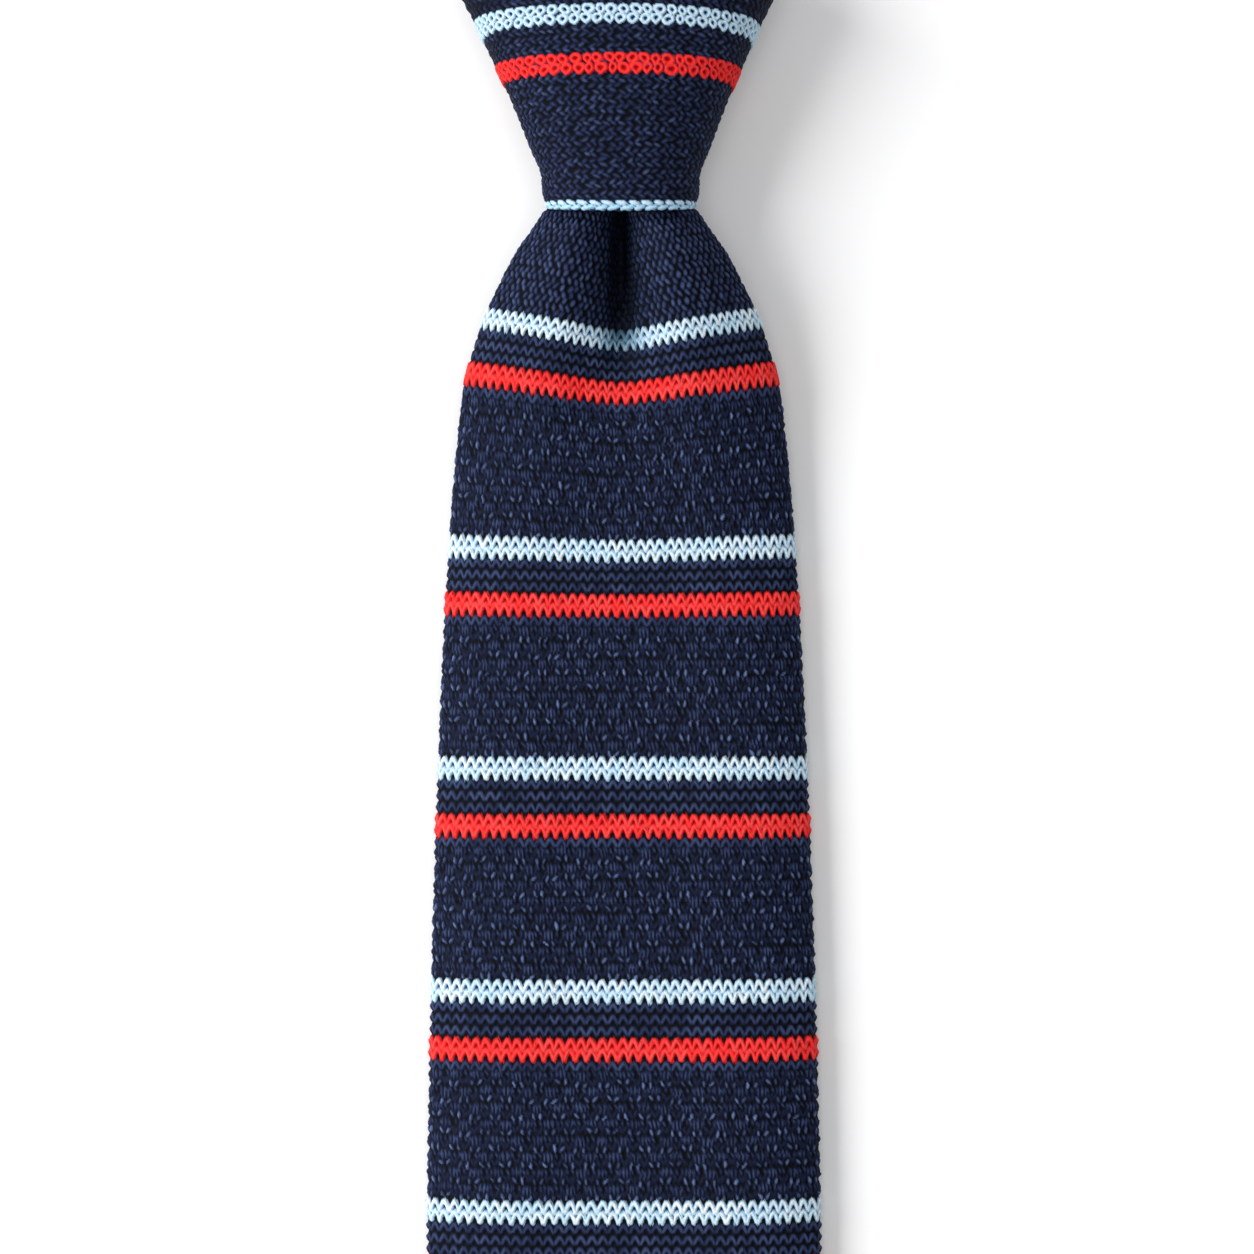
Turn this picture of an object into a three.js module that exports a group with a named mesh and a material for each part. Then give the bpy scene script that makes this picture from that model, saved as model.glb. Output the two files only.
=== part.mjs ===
import * as THREE from 'three';

// Knit tie with a square end, tied, and laid on its back.
// Millimetres, +Z up. +Y runs from the blade to the neck loop and +Z faces away from the surface
// that the tie lies on. The origin is the middle of the flat on the back of the knot.

// Driving dimensions
const knotHemY = -17.6;             // lower edge of the knot, at its sides
const knotTopY = 18;                // upper edge of the knot
const bladeInsideY = -4;            // gathered end of the blade inside the knot
const bladeEndY = -488;             // square free end of the blade
const tailInsideY = -5;             // gathered end of the tail inside the knot
const tailEndY = -388;              // square free end of the tail
const clothThickness = 4;           // doubled knit of the blade where it lies free
const tailThickness = 3.6;
const bandWidth = 28;
const bandThickness = 3.6;
const edgeRound = 0.25;             // part of the thickness that an edge loses on each face
const bladeAcross = 18;             // faces across one side of the blade
const knotAround = 32;              // faces around the knot
const knitColours = { ground: 0x262e4c, band: 0x242b48 };

// Outer face of the knot: half width, height of the front, and height of the back. The slant is
// how much lower the front of a section is than its sides.
const knotOuter = [
  { y: knotHemY, half: 10.9, front: 18.3, back: 0.6, square: 2.5, slant: 1.55 },
  { y: -16.9, half: 11.1, front: 18.8, back: 0, square: 2.5, slant: 1.55 },
  { y: -15.6, half: 11.5, front: 19.1, back: 0, square: 2.5, slant: 1.5 },
  { y: -13.4, half: 11.6, front: 19.3, back: 0, square: 2.5, slant: 1.3 },
  { y: -9.2, half: 13.2, front: 20.3, back: 0, square: 2.4, slant: 0.8 },
  { y: -4.8, half: 14.9, front: 21.4, back: 0, square: 2.35, slant: 0.4 },
  { y: 0, half: 16.9, front: 22.4, back: 0, square: 2.3, slant: 0 },
  { y: 4.1, half: 18.8, front: 23.3, back: 0, square: 2.3, slant: -0.3 },
  { y: 8.5, half: 20.8, front: 24.1, back: 0, square: 2.3, slant: -0.6 },
  { y: 12.9, half: 23.1, front: 24.6, back: 0, square: 2.3, slant: -0.6 },
  { y: 15.6, half: 24.0, front: 24.3, back: 0, square: 2.4, slant: -0.3 },
  { y: 17.2, half: 23.2, front: 23.0, back: 0.5, square: 2.5, slant: 0 },
  { y: knotTopY, half: 21.6, front: 21.2, back: 1.9, square: 2.6, slant: 0 },
];

// Inner face of the same sleeve: it closes on the blade and tail below and on the band above.
const knotInner = [
  { y: knotHemY, half: 8.9, front: 16.7, back: 2.1, square: 3.4, slant: 1.55 },
  { y: -16.9, half: 8.5, front: 16.4, back: 2.4, square: 3.4, slant: 1.55 },
  { y: -13.4, half: 8.6, front: 16.4, back: 2.5, square: 3.2, slant: 1.3 },
  { y: -9.2, half: 9.8, front: 17.0, back: 3.0, square: 2.8, slant: 0.8 },
  { y: -4.8, half: 11.3, front: 18.0, back: 3.4, square: 2.5, slant: 0.4 },
  { y: 4.1, half: 15.2, front: 19.6, back: 3.6, square: 2.4, slant: 0 },
  { y: 9.5, half: 17.7, front: 18.2, back: 4.6, square: 3, slant: 0 },
  { y: 13.5, half: 18.3, front: 14.9, back: 7.1, square: 5, slant: 0 },
  { y: 16.0, half: 18.4, front: 13.6, back: 8.4, square: 7, slant: 0 },
  { y: knotTopY, half: 18.9, front: 14.2, back: 7.8, square: 7, slant: 0 },
];

// Front face of the blade, right half: middle of the dimple, its wall, the lobe beside it,
// the side that draws the outline, and the edge. Past the dimple it lies on the tail.
const bladeRows = [
  { y: bladeInsideY, midZ: 10.2, wallX: 1.6, wallZ: 13.0, lobeX: 4.3, lobeZ: 15.5,
    sideX: 7.9, sideZ: 12.0, edgeX: 7.3, edgeZ: 8.1, thick: 2.3 },
  { y: -18.3, midZ: 9.9, wallX: 1.6, wallZ: 13.2, lobeX: 4.3, lobeZ: 15.6,
    sideX: 8.0, sideZ: 12.0, edgeX: 7.4, edgeZ: 8.1, thick: 2.3 },
  { y: -18.9, midZ: 9.7, wallX: 1.7, wallZ: 13.4, lobeX: 4.4, lobeZ: 15.6,
    sideX: 10.6, sideZ: 12.0, edgeX: 9.6, edgeZ: 8.0, thick: 2.4 },
  { y: -19.5, midZ: 9.5, wallX: 1.8, wallZ: 13.7, lobeX: 4.8, lobeZ: 15.8,
    sideX: 11.7, sideZ: 12.0, edgeX: 10.5, edgeZ: 8.0, thick: 2.5 },
  { y: -20.8, midZ: 9.2, wallX: 2.0, wallZ: 14.2, lobeX: 6.0, lobeZ: 17.3,
    sideX: 12.7, sideZ: 11.9, edgeX: 11.4, edgeZ: 7.8, thick: 2.6 },
  { y: -24.6, midZ: 8.9, wallX: 2.2, wallZ: 14.3, lobeX: 7.3, lobeZ: 17.5,
    sideX: 15.4, sideZ: 11.4, edgeX: 14.2, edgeZ: 7.3, thick: 2.8 },
  { y: -29.0, midZ: 9.1, wallX: 2.5, wallZ: 13.6, lobeX: 8.3, lobeZ: 16.8,
    sideX: 17.7, sideZ: 10.6, edgeX: 16.9, edgeZ: 6.8, thick: 3.0 },
  { y: -35.6, midZ: 9.8, wallX: 3.3, wallZ: 12.4, lobeX: 9.3, lobeZ: 14.9,
    sideX: 20.6, sideZ: 9.0, edgeX: 20.6, edgeZ: 5.9, thick: 3.3 },
  { y: -44.5, midZ: 10.5, wallX: 4.7, wallZ: 11.2, lobeX: 10.8, lobeZ: 12.2,
    sideX: 22.2, sideZ: 8.1, edgeX: 24.0, edgeZ: 5.2, thick: 3.6 },
  { y: -54.8, midZ: 9.8, wallX: 5.8, wallZ: 10.0, lobeX: 12.6, lobeZ: 10.2,
    sideX: 22.1, sideZ: 7.5, edgeX: 25.4, edgeZ: 4.8, thick: 3.8 },
  { y: -66.5, midZ: 8.9, wallX: 6.6, wallZ: 8.9, lobeX: 14.2, lobeZ: 8.9,
    sideX: 22.0, sideZ: 7.1, edgeX: 26.3, edgeZ: 4.5, thick: 3.9 },
  { y: -90.0, midZ: 8.1, wallX: 7.0, wallZ: 8.1, lobeX: 15.6, lobeZ: 8.1,
    sideX: 22.5, sideZ: 6.8, edgeX: 27.6, edgeZ: 4.2, thick: clothThickness },
  { y: -137.0, midZ: 8.1, wallX: 7.0, wallZ: 8.1, lobeX: 16.0, lobeZ: 8.1,
    sideX: 23.4, sideZ: 6.8, edgeX: 29.2, edgeZ: 4.1, thick: clothThickness },
  { y: -171.4, midZ: 8.1, wallX: 7.0, wallZ: 8.1, lobeX: 16.0, lobeZ: 8.1,
    sideX: 23.7, sideZ: 6.8, edgeX: 29.8, edgeZ: 4.1, thick: clothThickness },
  { y: -386.0, midZ: 8.1, wallX: 7.0, wallZ: 8.1, lobeX: 16.0, lobeZ: 8.1,
    sideX: 24.0, sideZ: 6.8, edgeX: 30.3, edgeZ: 4.1, thick: clothThickness },
  { y: -410.0, midZ: 4.6, wallX: 7.0, wallZ: 4.6, lobeX: 16.0, lobeZ: 4.5,
    sideX: 24.2, sideZ: 4.2, edgeX: 30.4, edgeZ: 4.0, thick: clothThickness },
  { y: bladeEndY, midZ: 4.1, wallX: 7.0, wallZ: 4.1, lobeX: 16.0, lobeZ: 4.1,
    sideX: 24.2, sideZ: 4.1, edgeX: 30.5, edgeZ: 4.0, thick: clothThickness },
];
const bladeDrift = { x: 0.45, reachedY: -172 };   // the blade hangs a little off the middle
const knotDrift = { x: -0.45, reachedY: 13 };

// Tail: bunched where it leaves the knot, then flat on the surface under the blade.
const tailRows = [
  { y: tailInsideY, half: 6.0, low: 4.4, thick: 3.0 },
  { y: -12, half: 6.0, low: 3.4, thick: 3.2 },
  { y: -18.5, half: 6.2, low: 2.9, thick: 3.2 },
  { y: -24, half: 8.6, low: 1.8, thick: 3.3 },
  { y: -32, half: 12.4, low: 0.6, thick: 3.5 },
  { y: -40, half: 15.4, low: 0, thick: tailThickness },
  { y: -60, half: 18.4, low: 0, thick: tailThickness },
  { y: -90, half: 18.6, low: 0, thick: tailThickness },
  { y: tailEndY, half: 18.8, low: 0, thick: tailThickness },
];

// Right half of the neck band's middle line, from inside the knot to the back of the neck.
// tilt is 0 where the band lies flat and 90 where it stands on its outer edge.
const bandRows = [
  { x: 6.8, y: 3, z: 11, width: 12.0, tilt: 0 },
  { x: 8.0, y: 9, z: 11, width: 14.6, tilt: 0 },
  { x: 8.7, y: 14, z: 11, width: 16.0, tilt: 0 },
  { x: 9.1, y: 18.5, z: 11, width: 16.4, tilt: 0 },
  { x: 12.6, y: 28, z: 11.2, width: 19.6, tilt: 8 },
  { x: 22.0, y: 44, z: 12.0, width: 24.4, tilt: 30 },
  { x: 36.6, y: 66, z: 13.4, width: 27.2, tilt: 62 },
  { x: 49.0, y: 91, z: bandWidth / 2, width: bandWidth, tilt: 84 },
  { x: 53.5, y: 116, z: bandWidth / 2, width: bandWidth, tilt: 90 },
  { x: 48.5, y: 142, z: bandWidth / 2, width: bandWidth, tilt: 90 },
  { x: 29.0, y: 165, z: bandWidth / 2, width: bandWidth, tilt: 90 },
];
const bandBackY = 175;
const bandSteps = 60;

// Smooth value of every column at a height y, from a table ordered by falling or rising y.
function rowAt(table, y) {
  const rows = table[0].y < table[table.length - 1].y ? table : [...table].reverse();
  const last = rows.length - 1;
  let i = 0;
  while (i < last - 1 && y > rows[i + 1].y) i += 1;
  const span = rows[i + 1].y - rows[i].y;
  const t = THREE.MathUtils.clamp((y - rows[i].y) / span, 0, 1);
  const result = {};
  for (const key of Object.keys(rows[0])) {
    const rise = (rows[i + 1][key] - rows[i][key]) / span;
    const before = i > 0 ? (rows[i][key] - rows[i - 1][key]) / (rows[i].y - rows[i - 1].y) : rise;
    const after = i < last - 1
      ? (rows[i + 2][key] - rows[i + 1][key]) / (rows[i + 2].y - rows[i + 1].y)
      : rise;
    const slopeIn = easedSlope(before, rise) * span;
    const slopeOut = easedSlope(rise, after) * span;
    const a = rows[i][key];
    const b = rows[i + 1][key];
    result[key] = (2 * t ** 3 - 3 * t ** 2 + 1) * a + (t ** 3 - 2 * t ** 2 + t) * slopeIn
      + (3 * t ** 2 - 2 * t ** 3) * b + (t ** 3 - t ** 2) * slopeOut;
  }
  result.y = y;
  return result;
}

// Slope that keeps a curve from overshooting its rows.
function easedSlope(a, b) {
  return a * b > 0 ? (2 * a * b) / (a + b) : 0;
}

// Closed body from rings of points with the same count. Without holes the two ends are closed by
// strips between the first and the second half of a ring.
function loft(rings, { tube = false } = {}) {
  const count = rings[0].length;
  const positions = [];
  const faces = [];
  for (const ring of rings) {
    for (const p of ring) positions.push(p.x, p.y, p.z);
  }
  const ringCount = rings.length;
  const lastBand = tube ? ringCount : ringCount - 1;
  for (let i = 0; i < lastBand; i += 1) {
    for (let j = 0; j < count; j += 1) {
      const a = i * count + j;
      const b = i * count + ((j + 1) % count);
      const c = ((i + 1) % ringCount) * count + ((j + 1) % count);
      const d = ((i + 1) % ringCount) * count + j;
      faces.push(a, b, c, a, c, d);
    }
  }
  if (!tube) {
    const half = count / 2;
    const far = (ringCount - 1) * count;
    for (let j = 0; j < half - 1; j += 1) {
      const across = count - 1 - j;
      faces.push(j, across, across - 1, j, across - 1, j + 1);
      faces.push(far + j, far + across - 1, far + across, far + j, far + j + 1, far + across - 1);
    }
  }
  const geometry = new THREE.BufferGeometry();
  geometry.setAttribute('position', new THREE.Float32BufferAttribute(positions, 3));
  geometry.setIndex(outward(positions, faces));
  geometry.computeVertexNormals();
  return geometry;
}

// Faces turned over where they enclose a negative volume.
function outward(positions, faces) {
  const corner = (i) => new THREE.Vector3(...positions.slice(3 * i, 3 * i + 3));
  let volume = 0;
  for (let i = 0; i < faces.length; i += 3) {
    const [a, b, c] = [corner(faces[i]), corner(faces[i + 1]), corner(faces[i + 2])];
    volume += a.dot(b.cross(c));
  }
  return volume > 0 ? faces : faces.reverse();
}

// Heights from start to end, in steps that grow from fine to coarse past the gathers.
function stations(table, fine, coarse, coarseBelow) {
  const ys = [];
  for (let i = 0; i < table.length - 1; i += 1) {
    const from = table[i].y;
    const to = table[i + 1].y;
    const step = from > coarseBelow ? fine : coarse;
    const parts = Math.max(1, Math.round(Math.abs(to - from) / step));
    for (let k = 0; k < parts; k += 1) ys.push(from + ((to - from) * k) / parts);
  }
  ys.push(table[table.length - 1].y);
  return ys;
}

// One ring of the knot's outer or inner face.
function knotRing(row) {
  const centre = (row.front + row.back) / 2;
  const rise = (row.front - row.back) / 2;
  const ring = [];
  for (let j = 0; j < knotAround; j += 1) {
    const angle = (2 * Math.PI * j) / knotAround;
    const c = Math.cos(angle);
    const s = Math.sin(angle);
    const reach = (Math.abs(c) ** row.square + Math.abs(s) ** row.square) ** (-1 / row.square);
    const x = row.half * c * reach + driftAt(row.y, knotDrift);
    ring.push(new THREE.Vector3(x, row.y - row.slant * s * reach, centre + rise * s * reach));
  }
  return ring;
}

// Rest flat: points of the outer face just above the surface are pressed onto it.
const restPress = 1.3;
function pressed(ring) {
  for (const p of ring) {
    if (p.z < restPress) p.z = 0;
  }
  return ring;
}

function knotGeometry() {
  const outer = knotOuter.map((row) => (row.back > 0 ? knotRing(row) : pressed(knotRing(row))));
  const inner = [...knotInner].reverse().map(knotRing);
  return loft([...outer, ...inner], { tube: true });
}

// Sideways drift of the middle line, which grows from the knot's lower edge.
function driftAt(y, drift) {
  const share = THREE.MathUtils.clamp((y - knotHemY) / (drift.reachedY - knotHemY), 0, 1);
  return drift.x * share;
}

// Front and back line of the blade at a height y.
function bladeRing(y) {
  const row = rowAt(bladeRows, y);
  const right = [
    [row.wallX, row.wallZ],
    [row.lobeX, row.lobeZ],
    [row.sideX, row.sideZ],
    [row.edgeX, row.edgeZ],
  ];
  const left = [...right].reverse().map(([x, z]) => [-x, z]);
  const line = [...left, [0, row.midZ], ...right].map(([x, z]) => new THREE.Vector3(x, 0, z));
  const curve = new THREE.CatmullRomCurve3(line, false, 'centripetal');
  const lean = driftAt(y, bladeDrift);
  const front = [];
  const back = [];
  for (let i = 0; i <= bladeAcross; i += 1) {
    const u = i / bladeAcross;
    const p = curve.getPointAt(u);
    const along = curve.getTangentAt(u);
    const normal = new THREE.Vector3(-along.z, 0, along.x);
    const round = i === 0 || i === bladeAcross ? edgeRound : 0;
    front.push(laid(p, normal, row.thick * round, y, lean));
    back.push(laid(p, normal, row.thick * (1 - round), y, lean));
  }
  return [...front, ...back.reverse()];
}

// Point set back from the front face, never below the surface it lies on.
function laid(p, normal, depth, y, lean) {
  return new THREE.Vector3(p.x - normal.x * depth + lean, y, Math.max(0, p.z - normal.z * depth));
}

function bladeGeometry() {
  return loft(stations(bladeRows, 2.6, 26, -60).map(bladeRing));
}

// Eight sided section of the tail with its edges eased.
function tailRing(y) {
  const row = rowAt(tailRows, y);
  const ease = row.thick * edgeRound;
  const x = driftAt(y, bladeDrift);
  const top = row.low + row.thick;
  const profile = [
    [-row.half, top - ease],
    [-row.half + ease, top],
    [row.half - ease, top],
    [row.half, top - ease],
    [row.half, row.low + ease],
    [row.half - ease, row.low],
    [-row.half + ease, row.low],
    [-row.half, row.low + ease],
  ];
  return profile.map(([px, pz]) => new THREE.Vector3(px + x, y, pz));
}

function tailGeometry() {
  return loft(stations(tailRows, 5, 60, -60).map(tailRing));
}

// Both halves of the band as one path, with its width and tilt as smooth curves of their own.
function bandPath() {
  const back = { x: 0, y: bandBackY, z: bandWidth / 2, width: bandWidth, tilt: 90 };
  const left = [...bandRows].reverse().map((row) => ({ ...row, x: -row.x }));
  const rows = [...bandRows, back, ...left];
  const middle = rows.map((row) => new THREE.Vector3(row.x, row.y, row.z));
  const shape = rows.map((row, i) => new THREE.Vector3(i, row.width, row.tilt));
  return {
    middle: new THREE.CatmullRomCurve3(middle, false, 'centripetal'),
    shape: new THREE.CatmullRomCurve3(shape, false, 'catmullrom', 0.5),
  };
}

function bandGeometry() {
  const path = bandPath();
  const up = new THREE.Vector3(0, 0, 1);
  const rings = [];
  for (let i = 0; i <= bandSteps; i += 1) {
    const t = path.middle.getUtoTmapping(i / bandSteps);
    const centre = path.middle.getPoint(t);
    const along = path.middle.getTangent(t);
    const shape = path.shape.getPoint(t);
    const tilt = THREE.MathUtils.degToRad(Math.min(shape.z, 90));
    const outwardDir = new THREE.Vector3().crossVectors(along, up).normalize();
    const widthDir = outwardDir.clone().multiplyScalar(Math.cos(tilt)).addScaledVector(up, -Math.sin(tilt));
    const faceDir = outwardDir.clone().multiplyScalar(Math.sin(tilt)).addScaledVector(up, Math.cos(tilt));
    rings.push(bandRing(centre, widthDir, faceDir, shape.y));
  }
  return loft(rings);
}

// Eight sided section of the band across its width and face directions.
function bandRing(centre, widthDir, faceDir, width) {
  const half = width / 2;
  const face = bandThickness / 2;
  const ease = bandThickness * edgeRound;
  const profile = [
    [-half, face - ease],
    [-half + ease, face],
    [half - ease, face],
    [half, face - ease],
    [half, ease - face],
    [half - ease, -face],
    [ease - half, -face],
    [-half, ease - face],
  ];
  return profile.map(([across, out]) => {
    const p = centre.clone().addScaledVector(widthDir, across).addScaledVector(faceDir, out);
    p.z = Math.max(0, p.z);
    return p;
  });
}

function knitPiece(name, geometry, colour) {
  const material = new THREE.MeshStandardMaterial({ color: colour, roughness: 0.9, metalness: 0 });
  const mesh = new THREE.Mesh(geometry, material);
  mesh.name = name;
  return mesh;
}

const group = new THREE.Group();
group.add(knitPiece('knot_wrap', knotGeometry(), knitColours.ground));
group.add(knitPiece('front_blade', bladeGeometry(), knitColours.ground));
group.add(knitPiece('tail_blade', tailGeometry(), knitColours.ground));
group.add(knitPiece('neck_band', bandGeometry(), knitColours.band));

export default group;
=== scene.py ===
import math

import bpy
import numpy as np
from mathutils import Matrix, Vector


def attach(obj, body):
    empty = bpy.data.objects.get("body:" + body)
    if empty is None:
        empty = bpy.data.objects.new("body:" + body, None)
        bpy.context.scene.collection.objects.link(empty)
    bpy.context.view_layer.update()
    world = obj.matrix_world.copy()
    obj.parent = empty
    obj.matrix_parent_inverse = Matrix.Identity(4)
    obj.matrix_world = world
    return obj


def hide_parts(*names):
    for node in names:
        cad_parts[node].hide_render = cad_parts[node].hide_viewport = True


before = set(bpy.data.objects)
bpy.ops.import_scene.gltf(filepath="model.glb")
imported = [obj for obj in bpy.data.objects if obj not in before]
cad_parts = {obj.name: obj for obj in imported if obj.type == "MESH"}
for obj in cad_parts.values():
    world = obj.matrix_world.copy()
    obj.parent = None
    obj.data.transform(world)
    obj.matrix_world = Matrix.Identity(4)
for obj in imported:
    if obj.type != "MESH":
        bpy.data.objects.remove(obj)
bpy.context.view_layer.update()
print("frame loaded")
mm = 0.001           # in metres
pixel = 1 / 6.8      # one photo pixel
bare = 0.02          # where the share of a stitch's height is under this, no yarn shows

# Yarn colours: painted shade in the gaps, the yarn's own colour on the flanks and a painted highlight on the
# crests of a stitch.
# flankAt is the share of a stitch's height where the yarn shows its flank.
yarns = {
    "navy": {"shades": [(2, 4, 10), (27, 37, 71), (98, 117, 164)], "flankAt": 0.55},
    "sky": {"shades": [(2, 30, 92), (168, 222, 255), (251, 255, 255)], "flankAt": 0.48},
    "red": {"shades": [(176, 0, 4), (255, 10, 16), (255, 84, 82)], "flankAt": 0.38},
}
yarnNames = list(yarns)
# How the painted shade, the flank colour and the painted highlight blend. A stitch's tone adds to the
# painted highlight on its crest, from a base and by how much.
shading = {"brightest": 0.8, "flankPower": 1.4, "crestFrom": 0.45, "crestHighlight": (0.35, 0.9), "mostCrest": 1.15}


def linear(colour):
    c = np.asarray(colour, float) / 255
    return shading["brightest"] * np.where(c < 0.04045, c / 12.92, ((c + 0.055) / 1.055) ** 2.4)


yarnShades = np.array([[linear(shade) for shade in yarns[name]["shades"]] for name in yarnNames])
flankAt = np.array([yarns[name]["flankAt"] for name in yarnNames])


def varied(look, part):
    # A base value, and how much of `part` is added to it.
    return look[0] + look[1] * part


def yarnColour(share, yarn, tone):
    # Linear colour of each point from how high it is on its stitch: painted shade low in the gaps, a painted
    # highlight high on the crests.
    gapShade, flank, crestHighlight = (yarnShades[yarn, k] for k in range(3))
    rise = np.clip(share / flankAt[yarn], 0, 1)[:, None] ** shading["flankPower"]
    top = np.clip((share - shading["crestFrom"]) / (1 - shading["crestFrom"]), 0, 1)
    top = np.clip(top * varied(shading["crestHighlight"], tone), 0, shading["mostCrest"])[:, None]
    return gapShade + (flank - gapShade) * rise + (crestHighlight - flank) * top


def chance(a, b, salt):
    # Fixed number from 0 to 1 for a stitch. Each use has a salt of its own.
    value = np.sin(a * 12.9898 + b * 78.233 + salt * 37.719) * 43758.5453
    return value - np.floor(value)


def wander(x, y, salt):
    # Smooth drift from -1 to 1, about one turn for every two stitches.
    i, j = np.floor(x), np.floor(y)
    s, t = x - i, y - j
    s, t = s * s * (3 - 2 * s), t * t * (3 - 2 * t)
    low = chance(i, j, salt) * (1 - s) + chance(i + 1, j, salt) * s
    high = chance(i, j + 1, salt) * (1 - s) + chance(i + 1, j + 1, salt) * s
    return 2 * (low * (1 - t) + high * t) - 1


def dome(away):
    # Height share of round yarn from the squared share of the way to its edge.
    return np.sqrt(np.clip(1 - away, 0, 1))


def grain(dx, dy, lean, halfLong, halfWide):
    # Height share of a grain of yarn whose long side leans off the vertical.
    along = dx * np.sin(lean) + dy * np.cos(lean)
    across = dx * np.cos(lean) - dy * np.sin(lean)
    return dome((along / halfLong) ** 2 + (across / halfWide) ** 2)


def grainField(x, y, look):
    # Staggered rows of grains, in photo pixels: height share, and a tone for each grain.
    share, tone = np.zeros_like(x), np.zeros_like(x)
    row = y / look["rowPitch"]
    for step in (-1, 0, 1):
        m = np.floor(row) + step
        shift = look["stagger"] * (m % 2)
        for side in (0, 1):
            n = np.floor(x / look["pitch"] - shift) + side
            luck = chance(n, m, look["salt"])
            dx = x - (n + shift) * look["pitch"] + look["loose"] * (chance(n, m, 11) - 0.5)
            dy = y - (m + 0.5) * look["rowPitch"] + look["loose"] * (chance(n, m, 12) - 0.5)
            # Every second row leans the other way, and chance turns each grain a little.
            lean = look["turn"] + look["lean"] * (1 - 2 * (m % 2)) + 0.35 * (luck - 0.5)
            found = grain(dx, dy, lean, *look["grain"]) * (0.85 + 0.15 * luck)
            better = found > share
            share = np.where(better, found, share)
            tone = np.where(better, luck, tone)
    return share, tone


# The plain stitch of the stripes and of the navy between them. Height and tone are a base
# value and what chance adds to it.
stitch = {
    "wale": 1.5,
    "course": 1.72,
    "relief": 0.4,                             # how high a whole stitch stands
    "sink": 0.19,                              # how far its gaps lie under the cloth's face
    "round": 0.2,                              # share of a leg's drop that is softly curved
    "sway": 0.09,                              # how far loops lean to a side, in wales
    "radius": {"navy": 0.36, "sky": 0.33, "red": 0.35},
    "plump": (1.28, -0.4),                     # thickness of a leg at its ends, and what its middle adds
    "steps": np.linspace(-0.32, 0.32, 17),     # where along a leg its distance is measured, in wales
    "within": 0.5,                             # no leg is wider than this, in courses
    "height": (0.9, 0.1),
    "tone": (0.3, 0.4),
}
# One stripe repeat, in courses counted down the cloth. Its first eight are plain stitches.
# Inset is how far inside a stripe, from its top and its foot, the gaps take its colour.
repeat = {"sky": (0, 2), "red": (5, 7), "inset": (0.35, 0.5), "plain": 8, "tuckFrom": 7.75, "length": 19}
# Courses of the stripes: the yarn, where the legs start and how far they drop.
stripeCourses = {0: ("sky", 0.23, 0.81), 1: ("sky", 1.15, 0.74),
                 5: ("red", 5.23, 0.82), 6: ("red", 6.10, 0.78)}
# The navy courses between them are lower and fade out where the next one starts.
navyCourse = {"top": 0.2, "drop": 0.72, "ends": 0.95, "fade": 0.2, "height": (0.52, 0.14)}


def legDrop(wale):
    # 0 at the round top of a loop, between two wales, and 1 at its pointed foot.
    curved = stitch["round"] * (1 - np.cos(2 * np.pi * wale)) / 2
    return curved + (1 - stitch["round"]) * (1 - np.abs(np.cos(np.pi * wale)))


def sway(wale, course):
    # Loops lean a little to one side or the other.
    return wale + stitch["sway"] * wander(wale, np.floor(course), 31)


def legs(wale, course, yarn, top, drop):
    # Height share of the zigzag of legs that starts at the course `top`.
    share = np.zeros(wale.shape)
    close = (course > top - stitch["within"]) & (course < top + drop + stitch["within"])
    w, c = wale[close], course[close]
    away = np.full(w.shape, 9.0)
    middle = np.zeros(w.shape)
    for step in stitch["steps"]:
        down = legDrop(w + step)
        distance = np.hypot(step * stitch["wale"], (c - top - drop * down) * stitch["course"])
        middle = np.where(distance < away, np.sin(np.pi * down), middle)
        away = np.minimum(distance, away)
    plump = varied(stitch["plump"], middle)
    share[close] = dome((away / stitch["radius"][yarn] / plump) ** 2)
    return share


# The navy field of tuck stitches, in photo pixels where no note says otherwise. Pairs named
# height, size or tone are a base value and what chance adds to it. A tone sets how strong the painted
# highlight on a crest is.
tuck = {
    "row": 1.406,                    # height of a row, in courses
    "rows": 8,
    "cell": (10.8, 16.5),            # one wale and one row
    "drift": (0.13, 0.11),           # how far the pattern wanders, in wales and rows
    "height": 0.9,
    # Mounds of upright strands.
    "middle": 0.35,                  # where in its row a mound sits, in rows
    "loose": (2.6, 2.8),
    "mound": (7.9, 6.0),
    "strand": 3.9,
    "strandHeight": (0.16, 0.7),
    "moundHeight": (0.8, 0.35),
    "moundTone": (0.1, 0.3),
    # The pair of grains under each, bright from their height and a stronger painted highlight.
    "grain": (4.2, 1.8),
    "apart": 3.9,
    "below": 8.3,
    "lean": math.radians(18),
    "grainSize": (0.7, 0.5),
    "grainTone": (0.3, 0.8),
    # The darker pair at the sides of those: lower, so more painted gap shade and a weaker painted highlight.
    "outer": (5.2, 1.9),
    "outerApart": 8.9,
    "outerBelow": 5.6,
    "outerLean": 0.5,
    "outerHeight": 0.5,
    "outerTone": (0, 0.3),
    # The small grains between them all, and how their height changes down a row.
    "ground": {"pitch": 5.5, "rowPitch": 8.25, "stagger": 0.5, "grain": (4.5, 1.9), "turn": 0,
               "lean": 0.3, "loose": 2.2, "salt": 23},
    "groundHeight": (0.52, 0.18),
    "groundTone": 0.5,
}


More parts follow.
